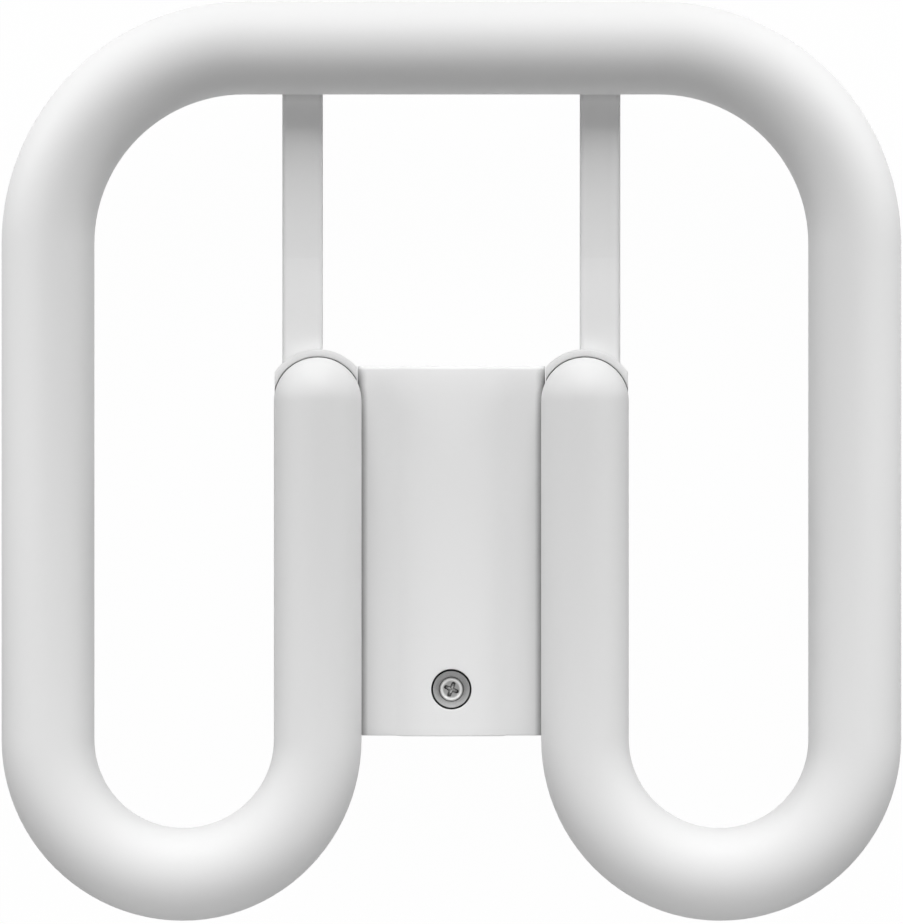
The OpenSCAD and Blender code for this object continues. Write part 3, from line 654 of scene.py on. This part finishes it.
# turns the profile round its axis and repeats it a pitch apart
def makePinTree():
    tree = newGroup("pinPair", "GeometryNodeTree", (
        ("Profile", "NodeSocketGeometry"), ("Pitch", "NodeSocketFloat"),
        ("Radius", "NodeSocketFloat"), ("Sides", "NodeSocketInt"),
        ("Metal", "NodeSocketMaterial")), (("Pins", "NodeSocketGeometry"),))
    source = addNode(tree, "NodeGroupInput", -900, 0)
    link = tree.links.new
    share = namedAttribute(tree, "share", -900, -300)
    width = addNode(tree, "ShaderNodeMath", -650, -250, operation="MULTIPLY")
    link(share.outputs["Attribute"], width.inputs[0])
    link(source.outputs["Radius"], width.inputs[1])
    path = addNode(tree, "GeometryNodeMeshToCurve", -650, 100)
    link(source.outputs["Profile"], path.inputs["Mesh"])
    ring = addNode(tree, "GeometryNodeCurvePrimitiveCircle", -650, 0)
    ring.inputs["Radius"].default_value = 1
    link(source.outputs["Sides"], ring.inputs["Resolution"])
    sweep = addNode(tree, "GeometryNodeCurveToMesh", -420, 100)
    link(path.outputs["Curve"], sweep.inputs["Curve"])
    link(ring.outputs["Curve"], sweep.inputs["Profile Curve"])
    link(width.outputs[0], sweep.inputs["Scale"])
    # two points, half a pitch to each side
    half = addNode(tree, "ShaderNodeMath", -650, -450, operation="MULTIPLY")
    half.inputs[1].default_value = -0.5
    link(source.outputs["Pitch"], half.inputs[0])
    start = addNode(tree, "ShaderNodeCombineXYZ", -420, -450)
    link(half.outputs[0], start.inputs["X"])
    apart = addNode(tree, "ShaderNodeCombineXYZ", -420, -300)
    link(source.outputs["Pitch"], apart.inputs["X"])
    places = addNode(tree, "GeometryNodeMeshLine", -200, -300)
    places.inputs["Count"].default_value = 2
    link(start.outputs[0], places.inputs["Start Location"])
    link(apart.outputs[0], places.inputs["Offset"])
    spread = addNode(tree, "GeometryNodeInstanceOnPoints", 0, 0)
    link(places.outputs["Mesh"], spread.inputs["Points"])
    link(sweep.outputs["Mesh"], spread.inputs["Instance"])
    real = addNode(tree, "GeometryNodeRealizeInstances", 200, 0)
    link(spread.outputs["Instances"], real.inputs["Geometry"])
    closed = addNode(tree, "GeometryNodeMergeByDistance", 380, 0)
    closed.inputs["Distance"].default_value = mergeDistance
    link(real.outputs["Geometry"], closed.inputs["Geometry"])
    paint = addNode(tree, "GeometryNodeSetMaterial", 560, 0)
    link(closed.outputs["Geometry"], paint.inputs["Geometry"])
    link(source.outputs["Metal"], paint.inputs["Material"])
    result = addNode(tree, "NodeGroupOutput", 740, 0)
    link(paint.outputs["Geometry"], result.inputs["Pins"])
    return tree


def makePins():
    profile = pins["profile"]
    piece = newPiece("contactPins", [(0, 0, z * mm) for z, share in profile],
                     edges=[(k, k + 1) for k in range(len(profile) - 1)])
    addAttribute(piece, "share", [share for z, share in profile])
    bakeTree(piece, makePinTree(), {
        "Pitch": pins["pitch"], "Radius": pins["radius"], "Sides": pins["sides"],
        "Metal": materials["pinBrass"]})
    smoothAbove(piece, pins["creaseAngle"])
    dress(piece, materials["pinBrass"], "pin_brass", "contact_pin_left", "contact_pin_right")


makePins()


# finishes of the CAD nodes that stay
keptNodes = {
    "rear_base": "basePlastic",
    "glow_starter": "starterGlass", "suppression_capacitor": "capacitorCoat",
    "pin_lead_left": "leadSleeve", "pin_lead_right": "leadSleeve",
    "starter_lead_left": "leadSleeve", "starter_lead_right": "leadSleeve",
    "leg_adhesive_left": "silicone", "leg_adhesive_right": "silicone",
    "arm_adhesive_left": "silicone", "arm_adhesive_right": "silicone",
}
for nodeName, finishName in keptNodes.items():
    for slot in nodes[nodeName].material_slots:
        slot.material = materials[finishName]
print(f"finished CAD nodes: {len(keptNodes)}")


studio = {
    "floorSize": 3, "floorZ": -0.00002, "floorGlow": 0.98, "floorColour": 0.9,
    "floorBounce": 0.2, "worldLight": 0,
    # azimuth from +Y and elevation in degrees, distance and size in metres and power in watts.
    # All but keyTop stand in pairs, one at each side
    "lamps": {
        "keyTop": {"azimuth": 0, "elevation": 30, "distance": 1.2, "size": 0.8, "power": 12.3},
        "upper": {"azimuth": 40, "elevation": 30, "distance": 1.2, "size": 0.8, "power": 1.8},
        "side": {"azimuth": 90, "elevation": 30, "distance": 0.15, "size": 0.08, "power": 0.03},
        "lower": {"azimuth": 150, "elevation": 30, "distance": 0.15, "size": 0.1, "power": 0.05},
        "edge": {"azimuth": 60, "elevation": 6, "distance": 0.3, "size": 0.08, "power": 0.215},
    },
}


# 1 for camera, glossy and transmission rays, 0 for the rays that only carry light
def seenRays(tree):
    rays = addNode(tree, "ShaderNodeLightPath", -700, 300)
    seen = addNode(tree, "ShaderNodeMath", -500, 300, operation="MAXIMUM")
    tree.links.new(rays.outputs["Is Camera Ray"], seen.inputs[0])
    tree.links.new(rays.outputs["Is Glossy Ray"], seen.inputs[1])
    also = addNode(tree, "ShaderNodeMath", -320, 300, operation="MAXIMUM")
    tree.links.new(seen.outputs[0], also.inputs[0])
    tree.links.new(rays.outputs["Is Transmission Ray"], also.inputs[1])
    return also.outputs[0]


# mixes two shaders by the given share and sends the result out
def mixOut(tree, output, share, plain, white):
    mix = addNode(tree, "ShaderNodeMixShader", 100, 100)
    tree.links.new(share, mix.inputs[0])
    tree.links.new(plain.outputs[0], mix.inputs[1])
    tree.links.new(white.outputs[0], mix.inputs[2])
    result = addNode(tree, output, 300, 100)
    tree.links.new(mix.outputs[0], result.inputs["Surface"])


def makeFloor():
    reach, z = studio["floorSize"], studio["floorZ"]
    floor = newPiece("floor", [(-reach, -reach, z), (reach, -reach, z),
                               (reach, reach, z), (-reach, reach, z)], [(0, 1, 2, 3)])
    material = bpy.data.materials.new("floorPaper")
    material.use_nodes = True
    tree = material.node_tree
    tree.nodes.clear()
    seen = seenRays(tree)
    share = addNode(tree, "ShaderNodeMath", -140, 300, operation="MULTIPLY")
    share.inputs[1].default_value = studio["floorGlow"]
    tree.links.new(seen, share.inputs[0])
    # the paper is white to the eye and throws little light back up
    shade = addNode(tree, "ShaderNodeMapRange", -320, 100)
    shade.inputs["To Min"].default_value = studio["floorBounce"]
    shade.inputs["To Max"].default_value = studio["floorColour"]
    tree.links.new(seen, shade.inputs["Value"])
    paper = addNode(tree, "ShaderNodeBsdfDiffuse", -140, 100)
    tree.links.new(shade.outputs["Result"], paper.inputs["Color"])
    glow = addNode(tree, "ShaderNodeEmission", -140, -50)
    mixOut(tree, "ShaderNodeOutputMaterial", share.outputs[0], paper, glow)
    floor.data.materials.append(material)


def makeWorld():
    world = bpy.data.worlds.new("studioWorld")
    bpy.context.scene.world = world
    world.use_nodes = True
    tree = world.node_tree
    tree.nodes.clear()
    light = addNode(tree, "ShaderNodeBackground", -140, 100)
    light.inputs["Strength"].default_value = studio["worldLight"]
    white = addNode(tree, "ShaderNodeBackground", -140, -50)
    mixOut(tree, "ShaderNodeOutputWorld", seenRays(tree), light, white)


def makeLamp(name, lamp, azimuth):
    light = bpy.data.lights.new(name, "AREA")
    light.shape = "SQUARE"
    light.size = lamp["size"]
    light.energy = lamp["power"]
    turn, rise = math.radians(azimuth), math.radians(lamp["elevation"])
    outward = Vector((math.sin(turn) * math.cos(rise), math.cos(turn) * math.cos(rise),
                      math.sin(rise)))
    holder = bpy.data.objects.new(name, light)
    holder.location = Vector((0, 0, tube["axisZ"])) + lamp["distance"] * outward
    holder.rotation_mode = "QUATERNION"
    holder.rotation_quaternion = (-outward).to_track_quat("-Z", "Y")
    holder.visible_camera = False
    bpy.context.scene.collection.objects.link(holder)


def makeLamps():
    for name, lamp in studio["lamps"].items():
        if lamp["azimuth"] == 0:
            makeLamp(name, lamp, 0)
        else:
            makeLamp(name + "Left", lamp, -lamp["azimuth"])
            makeLamp(name + "Right", lamp, lamp["azimuth"])


# straight down on the lamp from far off, so that the arms show no perspective
camera = {"height": 4, "middle": (0.000023, -0.000123), "frameWidth": 0.13852, "sensor": 36,
          "farthest": 20}


def makeCamera():
    eye = bpy.data.cameras.new("frontView")
    eye.sensor_fit = "HORIZONTAL"
    eye.sensor_width = camera["sensor"]
    eye.lens = camera["sensor"] * camera["height"] / camera["frameWidth"]
    eye.clip_end = camera["farthest"]
    holder = bpy.data.objects.new("frontView", eye)
    holder.location = (*camera["middle"], tube["axisZ"] + camera["height"])
    bpy.context.scene.collection.objects.link(holder)
    bpy.context.scene.camera = holder


makeFloor()
makeWorld()
makeLamps()
makeCamera()
bpy.context.scene.view_settings.view_transform = "Standard"
print(f"lamps: {len(bpy.data.lights)}")
